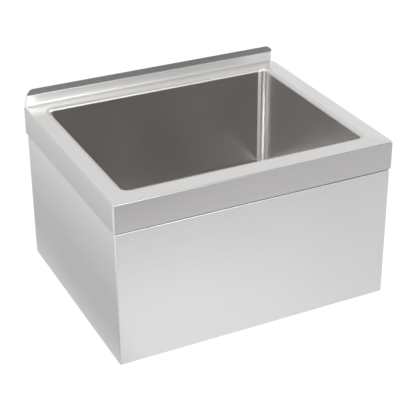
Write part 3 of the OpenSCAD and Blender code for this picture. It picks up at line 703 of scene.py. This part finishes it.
@dataclass
class FoldedRim:
    """The mitred deck with its skirt, and the upstand along the wall. Sizes in metres."""

    rack: FinishRack
    half_width: float = 0.300
    front: float = -0.250
    rear: float = 0.2405
    wall: float = 0.250
    deck: float = 0.350
    skirt: float = 0.060
    sheet: float = 0.00145
    hem_height: float = 0.012
    hem_thick: float = 0.003
    hem_bend: float = 0.0014
    edge_bend: float = 0.0025
    corner: float = 0.005
    opening: tuple[Point, Point] = ((-0.266, -0.210, 0.30), (0.266, 0.216, 0.40))
    opening_corner: float = 0.023
    bowl_low: Span = (-0.258, -0.202)
    bowl_high: Span = (0.258, 0.208)
    face_y: float = 0.239
    face_top: float = 0.374
    top: float = 0.384
    return_low: float = 0.362
    return_end: float = 0.008
    cove: float = 0.006
    cove_lap: float = 0.002
    upstand_half: float = 0.2955
    upstand_end: float = 0.005
    upstand_top_corner: float = 0.012
    lean_foot: float = 0.2985
    lean_top_corner: float = 0.020
    lean_angle: float = 13.0
    taper: Span = (0.62, 0.78)
    lip_bend: float = 0.0035
    lip_depth: float = 0.0015
    fold_normal: float = 0.93
    hem_play: float = 0.0008
    hem_reach: float = 0.010
    overcut: float = 0.010
    join_gap: float = 0.0001

    def build(self) -> None:
        """Builds the four mitred strips and the upstand, and dresses them."""
        sheet = self.rack.sheet
        blank = self._blank()
        # The strips' tones are lit and shaded copies of one steel: painted light on the right and
        # rear strips, painted shade on the skirts and the lip.
        for side, top, grain in (("front", RIM, Grain.ALONG_X),
                                 ("left", RIM, Grain.ALONG_Y),
                                 ("right", RIM_RIGHT_LIT, Grain.ALONG_Y),
                                 ("rear", UPSTAND_LIT, Grain.ALONG_X)):
            strip = duplicate(blank, f"deck_{side}")
            self._mitre(strip, side)
            if side == "rear":
                self._join_upstand(strip)
                # Painted light on the rear strip and upstand face, painted shade on the lip.
                dress(strip, sheet(top, grain), sheet(LIP_SHADED, grain))
                assign_faces(strip, 1, self._on_lip)
                node = "rim_rear_upstand"
            else:
                finish_edges(strip)
                # Painted shade on the skirt faces, picked by their normals.
                dress(strip, sheet(top, grain), sheet(SKIRT_SHADED, grain))
                assign_faces(strip, 1, self._on_skirt)
                node = f"rim_{side}"
            hand_over(strip, "sink", node)
        bpy.data.objects.remove(blank)

    def _on_lip(self, place: Vector, normal: Vector) -> bool:
        """Says whether a face of the upstand looks up and to the front from its lip."""
        return (place.z > self.face_top - self.lip_depth and normal.y < -0.2 and
                normal.z > 0.15)

    def _on_skirt(self, place: Vector, normal: Vector) -> bool:
        """Says whether a face belongs to the skirt or to the fold above it."""
        return abs(normal.z) < self.fold_normal and place.z < self.deck - self.join_gap

    def _blank(self) -> Piece:
        """Folds the deck and its skirt out of one box and cuts the bowl's opening.

        Returns:
            The closed sheet before it is mitred.
        """
        foot, half = self.deck - self.skirt, self.half_width
        blank = add_box("deck_blank", (-half, self.front, foot), (half, self.rear, self.deck))
        with editing(blank, Pick.FACE, lambda place, normal: normal.z < -FACING or
                    normal.y > FACING):
            bpy.ops.mesh.delete(type="FACE")
        with editing(blank, Pick.EDGE, lambda a, b: near(a.y, self.front) and
                    near(b.y, self.front) and near(a.x, b.x)):
            bevel(self.corner, segments=8)
        with editing(blank, Pick.EDGE, lambda a, b: max(a.z, b.z) < foot + CLOSE):
            extrude_edges((0.0, 0.0, 0.0))
            length = self.rear - self.front
            resize(((half - self.hem_thick) / half, (length - self.hem_thick) / length, 1.0),
                   (0.0, self.rear, foot))
            extrude_edges((0.0, 0.0, self.hem_height - self.sheet))
        with editing(blank, Pick.EDGE, lambda a, b: max(a.z, b.z) < foot + CLOSE and
                    self._runs_round(a, b)):
            bevel(self.hem_bend, segments=4)
        with editing(blank, Pick.EDGE, lambda a, b: min(a.z, b.z) > self.deck - CLOSE and
                    self._runs_round(a, b)):
            bevel(self.edge_bend, segments=6)
        thicken(blank, self.sheet)
        cutter = add_box("opening_cutter", *self.opening)
        with editing(cutter, Pick.EDGE, upright):
            bevel(self.opening_corner, segments=10)
        subtract(blank, cutter)
        return blank

    def _runs_round(self, a: Vector, b: Vector) -> bool:
        """Says whether an edge runs along the skirt.

        Args:
            a: The edge's one end.
            b: The other end.

        Returns:
            False for an edge across the hem or the open rear.
        """
        level = abs(self._depth(a) - self._depth(b)) < self.hem_play
        return min(a.y, b.y) <= self.rear - CLOSE and (
            level or abs(abs(a.x) - abs(b.x)) + abs(a.y - b.y) > self.hem_reach)

    def _depth(self, place: Vector) -> float:
        """Returns how far a point lies inside the skirt's outer outline."""
        return depth_inside(abs(place.x) - (self.half_width - self.corner),
                            self.front + self.corner - place.y, self.corner)

    def _mitre(self, strip: Piece, side: str) -> None:
        """Cuts one strip out of the blank along its two mitres.

        Args:
            strip: A copy of the blank.
            side: front, left, right or rear.
        """
        half = self.half_width
        middle = Vector({"front": (0.0, self.front), "left": (-half, 0.0), "right": (half, 0.0),
                         "rear": (0.0, self.rear)}[side])
        for end, y, bowl_y in (("front", self.front, self.bowl_low[1]),
                               ("rear", self.rear, self.bowl_high[1])):
            for flank, x, bowl_x in (("left", -half, self.bowl_low[0]),
                                     ("right", half, self.bowl_high[0])):
                if side not in (end, flank):
                    continue
                along = Vector((bowl_x - x, bowl_y - y, 0.0)).normalized()
                away = Vector((-along.y, along.x, 0.0))
                if away.dot(Vector((middle.x - x, middle.y - y, 0.0))) > 0:
                    away = -away
                cut_away(strip, (x, y, self.deck), tuple(away))

    def _join_upstand(self, strip: Piece) -> None:
        """Cuts the rear strip back, and joins the cove and the upstand to it.

        Args:
            strip: The rear strip.
        """
        end = self.upstand_half - self.upstand_end
        start = self.face_y - self.cove - self.cove_lap
        subtract(strip, add_box("cove_notch", (-end, start, self.deck - self.overcut),
                                (end, self.wall + 2 * self.overcut, self.deck + self.overcut)))
        finish_edges(strip)
        cove, upstand = self._cove(end, start), self._upstand(end)
        deselect_everything()
        for part in (cove, upstand, strip):
            part.select_set(True)
        bpy.context.view_layer.objects.active = strip
        bpy.ops.object.join()

    def _cove(self, end: float, start: float) -> Piece:
        """Models the cove between deck and upstand as one welded bar.

        Args:
            end: Half of its length.
            start: Where it leaves the deck, along Y.

        Returns:
            The bar.
        """
        bar = add_box("deck_cove", (-end, start, self.deck - self.sheet),
                      (end, self.rear, self.deck))
        with editing(bar):
            bpy.ops.mesh.bisect(plane_co=(0, self.face_y, 0), plane_no=(0, 1, 0))
        with editing(bar, Pick.FACE, lambda place, normal: normal.z > 0.5 and
                    place.y > self.face_y):
            extrude_faces((0.0, 0.0, self.cove + self.cove_lap))
        with editing(bar, Pick.EDGE, lambda a, b: near(a.y, self.face_y) and
                    near(b.y, self.face_y) and abs(a.x - b.x) > 0.1 and near(a.z, self.deck)):
            bevel(self.cove, segments=8)
        finish_edges(bar)
        return bar

    def _upstand(self, end: float) -> Piece:
        """Folds the upstand's face, lip and wall return, with closed rounded ends.

        Args:
            end: Half of the length between its end bends.

        Returns:
            The upstand.
        """
        below = self.deck - self.overcut
        body = self._upstand_form("deck_upstand", 0.0, self.deck - self.join_gap)
        subtract(body, self._upstand_form("upstand_core", self.sheet, below))
        inside = self.upstand_half - self.return_end
        subtract(body, add_box("return_window", (-inside, self.wall - 2 * self.sheet, below),
                               (inside, self.wall + self.overcut, self.return_low)))
        subtract(body, add_box("face_notch", (-end, self.face_y - self.overcut, below),
                               (end, self.rear, self.deck + self.cove + self.cove_lap)))
        finish_edges(body)
        return body

    def _upstand_form(self, name: str, inset: float, low: float) -> Piece:
        """Cuts the upstand's closed form out of a box with planes that follow its bends.

        Args:
            name: The form's name.
            inset: How far every side is drawn in.
            low: The height of its level underside.

        Returns:
            The form.
        """
        front = self.face_y + inset
        slope = self.face_top - self.face_y - inset * math.sqrt(2.0)
        top = self.face_y + self.top - self.face_top - inset + slope
        form = add_box(name, (inset - self.lean_foot, front, low),
                       (self.upstand_half - inset, self.wall - inset, top))
        ahead, up = Vector((0.0, -1.0, 0.0)), Vector((0.0, 0.0, 1.0))
        lip = (ahead + up).normalized()
        cut_away(form, (0.0, front, front + slope), tuple(lip))
        fold = self.lip_bend - inset
        tangent = fold * math.tan(math.radians(22.5))
        round_off(form, Vector((0.0, front + fold, front + slope - tangent)), fold, ahead, lip, 5)
        lean = math.radians(self.lean_angle)
        for outward, reach, top_corner in (
                (Vector((-math.cos(lean), 0.0, math.sin(lean))), self.lean_foot,
                 self.lean_top_corner),
                (Vector((1.0, 0.0, 0.0)), self.upstand_half, self.upstand_top_corner)):
            side = math.copysign(1.0, outward.x)
            foot = Vector((side * reach, front, self.deck)) - inset * outward
            cut_away(form, tuple(foot), tuple(outward))
            bend = self.upstand_end - inset
            round_off(form, foot - bend * outward - bend * ahead, bend, outward, ahead, 6)
            bend = top_corner - inset
            drop = (bend + outward.z * (top - bend - foot.z)) / abs(outward.x)
            round_off(form, Vector((foot.x - side * drop, front, top - bend)), bend, outward, up,
                      10)
            away = (self.taper[0] * outward - self.taper[1] * ahead).normalized()
            corner = Vector((side * reach, self.face_y + self.upstand_end, self.deck))
            cut_away(form, tuple(corner - inset * away), tuple(away))
        return form


# ---- bowl


@dataclass
class DeepBowl:
    """The one-piece bowl with its bent rim and its fall to the drain. Sizes in metres."""

    rack: FinishRack
    half_width: float = 0.258
    front: float = -0.202
    rear: float = 0.208
    deck: float = 0.350
    floor: float = 0.110
    bend: float = 0.008
    ring: float = 0.0002
    corner: float = 0.015
    fall: float = 0.005
    flat: float = 0.052
    recess: float = 0.004
    recess_radius: float = 0.044
    recess_bend: float = 0.0012
    hole: float = 0.030
    sheet: float = 0.0012
    blank: float = 0.010
    bend_gap: float = 0.0001
    # Spans of normals that pick the painted highlight bands in the right corner bends.
    weld_edge: Span = (0.05, 0.40)
    weld_side: float = 0.86
    glint_corner_tilt: float = 0.3
    side_facing: float = 0.9
    bend_share: float = 0.9

    def build(self) -> None:
        """Builds the bowl and dresses its walls and floor."""
        shell = self._pocket()
        self._form_floor(shell)
        self._press_drain(shell)
        with editing(shell):
            bpy.ops.mesh.remove_doubles(threshold=2.0 * CLOSE)
            bpy.ops.mesh.normals_make_consistent(inside=False)
        if self._ring_looks_down(shell):
            with editing(shell):
                bpy.ops.mesh.flip_normals()
        thicken(shell, self.sheet)
        finish_edges(shell)
        sheet = self.rack.sheet
        # Painted shade on the walls and floor, painted light on the side walls and the top bend,
        # painted highlights in the right corner bends.
        dress(shell, sheet(BOWL_SHADED, Grain.LEVEL), sheet(BOWL_SHADED, Grain.ALONG_X),
              sheet(BEND, Grain.ALONG_X), sheet(BOWL_SIDE_LIT, Grain.LEVEL),
              sheet(WELD, Grain.ALONG_X), sheet(WELD_EDGE, Grain.ALONG_X))
        self._dress_faces(shell)
        hand_over(shell, "sink", "bowl")

    def _pocket(self) -> Piece:
        """Draws the walls down out of a flat ring and rounds their bends.

        Returns:
            The shell, open below.
        """
        out = self.bend + self.ring
        plate = add_box("bowl_shell",
                        (-self.half_width - out, self.front - out, self.deck - self.blank),
                        (self.half_width + out, self.rear + out, self.deck))
        with editing(plate, Pick.EDGE, upright):
            bevel(self.corner + out, segments=10)
        with editing(plate, Pick.FACE, lambda place, normal: normal.z < FACING):
            bpy.ops.mesh.delete(type="FACE")
        with editing(plate):
            bpy.ops.mesh.inset(thickness=out, use_even_offset=True)
            extrude_faces((0.0, 0.0, self.floor - self.deck))
        with editing(plate, Pick.EDGE, lambda a, b: max(a.z, b.z) < self.floor + CLOSE):
            bevel(self.corner - self.bend_gap, segments=8)
        with editing(plate, Pick.EDGE, lambda a, b: min(a.z, b.z) > self.deck - CLOSE and
                    self._on_inner_outline(a) and self._on_inner_outline(b)):
            bevel(self.bend, segments=8)
        return plate

    def _on_inner_outline(self, place: Vector) -> bool:
        """Says whether a point lies on the bowl's inner outline, seen from above.

        Args:
            place: A point of the deck level.

        Returns:
            True on the outline or inside it.
        """
        past_y = abs(place.y - self._middle()) - ((self.rear - self.front) / 2 - self.corner)
        return depth_inside(abs(place.x) - (self.half_width - self.corner), past_y,
                            self.corner) > -SLACK

    def _middle(self) -> float:
        """Returns where the drain is along Y."""
        return (self.front + self.rear) / 2

    def _form_floor(self, shell: Piece) -> None:
        """Swaps the level floor for four falls that meet in a round flat.

        Args:
            shell: The shell.
        """
        level = self.floor + CLOSE
        with editing(shell, Pick.FACE, lambda place, normal: abs(normal.z) > FLAT and
                    place.z < level):
            bpy.ops.mesh.delete(type="ONLY_FACE")
        with editing(shell, Pick.VERTEX):
            bpy.ops.mesh.primitive_circle_add(
                vertices=48, radius=self.flat, fill_type="NOTHING",
                location=(0.0, self._middle(), self.floor - self.fall))
            select_where(shell, Pick.VERTEX, lambda place: place.z < level)
            bpy.ops.mesh.convex_hull(use_existing_faces=False)
        with editing(shell, Pick.FACE, lambda place, normal: abs(normal.z) > FLAT and
                    near(place.z, self.floor)):
            bpy.ops.mesh.delete(type="ONLY_FACE")
        with editing(shell, Pick.EDGE, lambda a, b: max(a.z, b.z) < level and
                    min(a.z, b.z) < self.floor - self.fall / 2):
            bpy.ops.mesh.mark_sharp()

    def _press_drain(self, shell: Piece) -> None:
        """Presses the drain's recess into the flat and cuts its hole.

        Args:
            shell: The shell.
        """
        low = self.floor - self.fall
        with editing(shell, Pick.FACE, lambda place, normal: near(place.z, low)):
            bpy.ops.mesh.dissolve_faces()
        with editing(shell, Pick.FACE, lambda place, normal: near(place.z, low)):
            bpy.ops.mesh.inset(thickness=self.flat - self.recess_radius)
            extrude_faces((0.0, 0.0, -self.recess))
            bpy.ops.mesh.inset(thickness=self.recess_radius - self.hole)
            bpy.ops.mesh.delete(type="FACE")
        with editing(shell, Pick.EDGE, lambda a, b: self._on_recess(a) and self._on_recess(b) and
                    near(a.z, b.z)):
            bevel(self.recess_bend, segments=3)

    def _on_recess(self, place: Vector) -> bool:
        """Says whether a point lies on the recess's round side."""
        return (abs(math.hypot(place.x, place.y - self._middle()) - self.recess_radius) < SLACK and
                place.z < self.floor - self.fall + CLOSE)

    def _ring_looks_down(self, shell: Piece) -> bool:
        """Says whether the flat ring at deck level faces down."""
        return sum(face.normal.z for face in shell.data.polygons
                   if face.center.z > self.deck - CLOSE) < 0

    # Picks the right corner bends that carry painted highlights.
    def _on_weld(self, place: Vector, normal: Vector) -> bool:
        """Says whether a face lies in one of the two upright corner bends on the right.

        Args:
            place: The face's middle.
            normal: The face's normal.

        Returns:
            True in a corner bend, whose faces stand nearly on end.
        """
        half_length, inner = (self.rear - self.front) / 2, self.corner - SLACK
        return (place.x > self.half_width - inner and abs(normal.z) < self.glint_corner_tilt and
                abs(place.y - self._middle()) > half_length - inner)

    def _dress_faces(self, shell: Piece) -> None:
        """Hands the side walls, the right corner bends, the floor and the top bend their finishes:
        painted light on the side walls and the top bend, painted highlights in the corner bends,
        painted shade on the floor.

        Args:
            shell: The dressed shell.
        """
        floor, bend = self.floor + SLACK, self.deck - self.bend_share * self.bend
        low, high = self.weld_edge
        for slot, test in (
                # Painted light on the side walls.
                (BowlSlot.SIDE, lambda place, normal: abs(normal.x) > self.side_facing),
                # Painted highlight bands in the right corner bends.
                (BowlSlot.WELD, self._on_weld),
                (BowlSlot.WELD_EDGE, lambda place, normal: self._on_weld(place, normal) and
                 low < abs(normal.x) < high),
                (BowlSlot.SIDE, lambda place, normal: self._on_weld(place, normal) and
                 abs(normal.x) > self.weld_side),
                (BowlSlot.FLOOR, lambda place, normal: place.z < floor),
                # Painted light along the top bend.
                (BowlSlot.BEND, lambda place, normal: place.z > bend)):
            assign_faces(shell, int(slot), test)


# ---- casing


@dataclass
class Casing:
    """The folded side panels and the pull-off front panel. Sizes in metres."""

    rack: FinishRack
    half_width: float = 0.297
    flange_front: float = -0.2443
    rear: float = 0.2405
    low: float = 0.0015
    high: float = 0.3485
    sheet: float = 0.0012
    bend: float = 0.0024
    flange: float = 0.040
    hem: float = 0.012
    hem_gap: float = 0.0001
    top_flange: float = 0.025
    broken_edge: float = 0.0002
    panel_front: float = -0.247
    panel_top: float = 0.287
    panel_hem: float = 0.014
    panel_bend: float = 0.0020
    panel_back_bend: float = 0.00035

    def build(self) -> None:
        """Builds both side panels and the front panel, and dresses them."""
        sheet = self.rack.sheet
        right = self._side_panel()
        left = duplicate(right, "casing_side_left")
        with editing(left):
            resize((-1.0, 1.0, 1.0), (0.0, 0.0, 0.0))
            bpy.ops.mesh.flip_normals()
        for name, panel in (("right", right), ("left", left)):
            finish_edges(panel, self.broken_edge)
            dress(panel, sheet(CASING, Grain.ALONG_Y))
            hand_over(panel, "sink", f"side_panel_{name}")
        front = self._front_panel()
        dress(front, sheet(CASING, Grain.ALONG_X), sheet(PANEL_EDGE_GLINT, Grain.ALONG_X))
        # Painted highlight along the front panel's top bend.
        assign_faces(front, 1, self._on_top_edge)
        hand_over(front, "front_panel", "front_panel")

    def _on_top_edge(self, place: Vector, normal: Vector) -> bool:
        """Says whether a face belongs to the bend along the front panel's top."""
        return (place.z > self.panel_top - self.panel_bend and normal.y < -0.05 and
                normal.z > 0.05)

    def _side_panel(self) -> Piece:
        """Folds the right side panel with its flanges and hem.

        Returns:
            The closed sheet.
        """
        panel = add_box("casing_side_right",
                        (self.half_width - self.flange, self.flange_front, self.low),
                        (self.half_width, self.rear, self.high))
        with editing(panel, Pick.FACE, lambda place, normal: normal.x < -FACING or
                    abs(normal.z) > FACING):
            bpy.ops.mesh.delete(type="FACE")
        outer = self.half_width - CLOSE
        with editing(panel, Pick.EDGE, lambda a, b: min(a.x, b.x) > outer and
                    abs(a.z - b.z) > 0.1):
            bevel(self.bend, segments=5)
        with editing(panel, Pick.EDGE, lambda a, b: min(a.x, b.x) > outer and near(a.z, b.z) and
                    a.z < self.low + CLOSE):
            extrude_edges((-2 * self.sheet - self.hem_gap, 0.0, 0.0))
            extrude_edges((0.0, 0.0, self.hem - self.sheet))
        with editing(panel, Pick.EDGE, lambda a, b: min(a.x, b.x) > outer and near(a.z, b.z) and
                    a.z > self.high - CLOSE):
            extrude_edges((-self.top_flange, 0.0, 0.0))
        thicken(panel, self.sheet)
        return panel

    def _front_panel(self) -> Piece:
        """Models the front panel with rounded edges and the hem round its back.

        Returns:
            The panel.
        """
        back = self.panel_front + 2 * self.sheet
        panel = add_box("casing_front", (-self.half_width, self.panel_front, self.low),
                        (self.half_width, back, self.panel_top))
        with editing(panel, Pick.FACE, lambda place, normal: normal.y > FACING):
            bpy.ops.mesh.inset(thickness=self.panel_hem)
            extrude_faces((0.0, -self.sheet, 0.0))
        with editing(panel, Pick.EDGE, lambda a, b: max(a.y, b.y) < self.panel_front + CLOSE):
            bevel(self.panel_bend, segments=6)
        with editing(panel, Pick.EDGE, lambda a, b: min(a.y, b.y) > back - CLOSE and
                    self._on_panel_outline(a) and self._on_panel_outline(b)):
            bevel(self.panel_back_bend, segments=2)
        finish_edges(panel)
        return panel

    def _on_panel_outline(self, place: Vector) -> bool:
        """Says whether a point of the panel's back lies on its outline."""
        return (near(abs(place.x), self.half_width) or near(place.z, self.low) or
                near(place.z, self.panel_top))


# ---- carried-over parts


@dataclass
class Hardware:
    """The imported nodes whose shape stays, each with its finish."""

    rack: FinishRack
    rails: tuple[str, ...] = ("front_upper_rail", "front_lower_rail", "rear_upper_rail",
                              "rear_lower_rail", "earth_tag")
    feet: tuple[str, ...] = ("front_left", "front_right", "rear_left", "rear_right")
    plain: tuple[tuple[PlainFinish, tuple[str, ...]], ...] = (
        (POLISHED, ("waste_body", "strainer_basket", "basket_knob")),
        (PLATED, ("rail_rivets", "panel_studs", "weld_nuts", "lock_nuts")),
        (BRASS, ("earth_screw", "earth_nut")),
        (RUBBER, ("sound_deadening_pad", "flange_seal", "under_seal", "basket_stopper")),
        (PLASTIC, ("catch_grommets", "back_nut")),
        (FIBRE, ("friction_washer",)))

    def dress_all(self) -> None:
        """Assigns a material to every carried-over node."""
        sheet, finish_of = self.rack.sheet, {}
        for name in self.rails:
            finish_of[name] = sheet(CASING, Grain.ALONG_X)
        for foot in self.feet:
            finish_of[f"foot_bracket_{foot}"] = sheet(CASING, Grain.ALONG_Y)
            finish_of[f"foot_screw_{foot}"] = sheet(PLATED)
            finish_of[f"foot_pad_{foot}"] = sheet(PLASTIC)
        for finish, names in self.plain:
            finish_of.update(dict.fromkeys(names, sheet(finish)))
        for name, material in finish_of.items():
            dress(frame["nodes"][name], material)
        LOG.info("dressed %d carried-over nodes", len(finish_of))


# ---- studio


@dataclass(frozen=True)
class SoftLamp:
    """One rectangular soft lamp.

    Attributes:
        name: The lamp's name.
        place: Where its middle is, in metres.
        size: Its width and height, in metres.
        power: Its power, in watts.
        target: The point that it faces.
    """

    name: str
    place: Point
    size: Span
    power: float
    target: Point

    def hang(self) -> None:
        """Adds the lamp to the scene."""
        bpy.ops.object.light_add(type="AREA", location=self.place)
        lamp = bpy.context.active_object
        lamp.name = self.name
        lamp.data.shape = "RECTANGLE"
        lamp.data.size, lamp.data.size_y = self.size
        lamp.data.energy = self.power
        facing = Vector(self.place) - Vector(self.target)
        lamp.rotation_euler = facing.to_track_quat("Z", "Y").to_euler()
        LOG.info("%s: %.0f W", self.name, self.power)


@dataclass
class Studio:
    """Camera, pale floor, room light and lamps.

    A span says between which places along X or Y, or between which heights of a direction, a
    level changes, and its levels are those at its start and end. The floor mirrors in the steel
    as three fields: near and far in front, and left. The dim patch is what the lip mirrors.
    """

    eye: Point = (-0.9756, -2.0096, 1.3619)
    azimuth: float = -26.72
    elevation: float = 27.38
    lens: float = 103.6
    shift: Span = (-0.024, -0.053)
    floor_size: float = 14.0
    floor_grey: float = 0.20
    floor_seen: float = 0.84
    near_border: Span = (-0.92, -0.62)
    near_span: Span = (-0.10, 0.48)
    near_levels: Span = (0.72, 0.52)
    far_span: Span = (0.0, 0.55)
    far_levels: Span = (0.04, 0.32)
    left_border: Span = (-0.40, -0.22)
    left_span: Span = (-0.64, -0.48)
    left_levels: Span = (0.90, 0.25)
    dim_patch: Point = (0.40, -0.46, 0.79)
    dim_angles: Span = (30.0, 11.0)
    dim_levels: Span = (1.0, 0.05)
    high_span: Span = (0.62, 0.78)
    high_levels: Span = (0.0, 0.25)
    zenith_span: Span = (0.84, 0.95)
    room_level: float = 0.8
    lamps: tuple[SoftLamp, ...] = (
        SoftLamp("soft_lamp", (-1.6, -0.2, 2.6), (2.2, 2.2), 16.0, (0.0, 0.0, 0.2)),
        SoftLamp("front_lamp", (0.25, -2.15, 1.62), (1.0, 1.6), 15.5, (0.0, 0.0, 0.50)),
        SoftLamp("right_strip", (2.14, -0.475, 1.35), (1.0, 0.75), 21.0, (-0.2, 0.06, 0.25)))

    def build(self) -> None:
        """Sets up the camera, the floor, the room and the lamps."""
        self._camera()
        self._floor()
        self._room()
        for lamp in self.lamps:
            lamp.hang()
        bpy.context.scene.view_settings.view_transform = "Standard"

    def _camera(self) -> None:
        """Places the camera at the photograph's viewing angle."""
        bpy.ops.object.camera_add(location=self.eye)
        camera = bpy.context.active_object
        camera.name = "studio_camera"
        camera.rotation_euler = (math.radians(90.0 - self.elevation), 0.0,
                                 math.radians(self.azimuth))
        camera.data.lens = self.lens
        camera.data.shift_x, camera.data.shift_y = self.shift
        bpy.context.scene.camera = camera

    def _floor(self) -> None:
        """Lays the floor, which is white to the camera and keeps the object's shadow."""
        bpy.ops.mesh.primitive_plane_add(size=self.floor_size, location=(0.0, 0.0, 0.0))
        floor = settle(bpy.context.active_object, "studio_floor")
        board = NodeBoard("studio_floor")
        board.tree.nodes.remove(board.shader)
        grey = self.floor_grey
        plain = board.run("ShaderNodeBsdfDiffuse", 0, {"Color": (grey, grey, grey, 1.0)})
        where = board.add("ShaderNodeSeparateXYZ")
        board.feed(board.place(), where.inputs[0])
        x, y = where.outputs["X"], where.outputs["Y"]
        ahead = board.choose(board.blend_range(y, self.near_border, (0.0, 1.0)),
                             board.blend_range(x, self.far_span, self.far_levels),
                             board.blend_range(x, self.near_span, self.near_levels))
        left = board.blend_range(x, self.left_span, self.left_levels)
        mirrored = board.choose(board.blend_range(x, self.left_border, (0.0, 1.0)), left, ahead)
        seen = board.add("ShaderNodeLightPath").outputs["Is Camera Ray"]
        glow = board.run("ShaderNodeEmission", 0, {
            "Strength": board.choose(seen, mirrored, self.floor_seen)})
        both = board.run("ShaderNodeAddShader", 0, {0: plain, 1: glow})
        board.feed(both, board.output.inputs["Surface"])
        dress(floor, board.material)

    def _room(self) -> None:
        """Lights the room evenly, with one dim patch above and in front that the lip mirrors."""
        world = bpy.data.worlds.new("studio_room")
        bpy.context.scene.world = world
        world.use_nodes = True
        sheet = NodeSheet(world.node_tree)
        toward = sheet.add("ShaderNodeTexCoord").outputs["Generated"]
        patch = tuple(Vector(self.dim_patch).normalized())
        nearness = sheet.run("ShaderNodeVectorMath", "Value", {0: toward, 1: patch},
                             operation="DOT_PRODUCT")
        edge = tuple(math.cos(math.radians(angle)) for angle in self.dim_angles)
        dimmed = sheet.blend_range(nearness, edge, self.dim_levels)
        height = sheet.run("ShaderNodeSeparateXYZ", "Z", {0: toward})
        high = sheet.combine("MULTIPLY", sheet.blend_range(height, self.high_span,
                                                           self.high_levels),
                             sheet.blend_range(height, self.zenith_span, (1.0, 0.0)))
        mirrored = sheet.combine("MULTIPLY", dimmed, sheet.combine("ADD", high, self.room_level))
        path = sheet.add("ShaderNodeLightPath")
        seen = sheet.combine("MAXIMUM", path.outputs["Is Camera Ray"],
                             path.outputs["Is Transmission Ray"])
        back = sheet.run("ShaderNodeBackground", 0, {
            "Color": (1.0, 1.0, 1.0, 1.0), "Strength": sheet.choose(seen, mirrored, 1.0)})
        sheet.feed(back, sheet.add("ShaderNodeOutputWorld").inputs["Surface"])


def main() -> None:
    """Builds the sink's dressed pieces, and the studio."""
    logging.basicConfig(level=logging.INFO, format="%(message)s")
    rack = FinishRack()
    FoldedRim(rack).build()
    DeepBowl(rack).build()
    Casing(rack).build()
    Hardware(rack).dress_all()
    Studio().build()


if __name__ == "__main__":
    main()
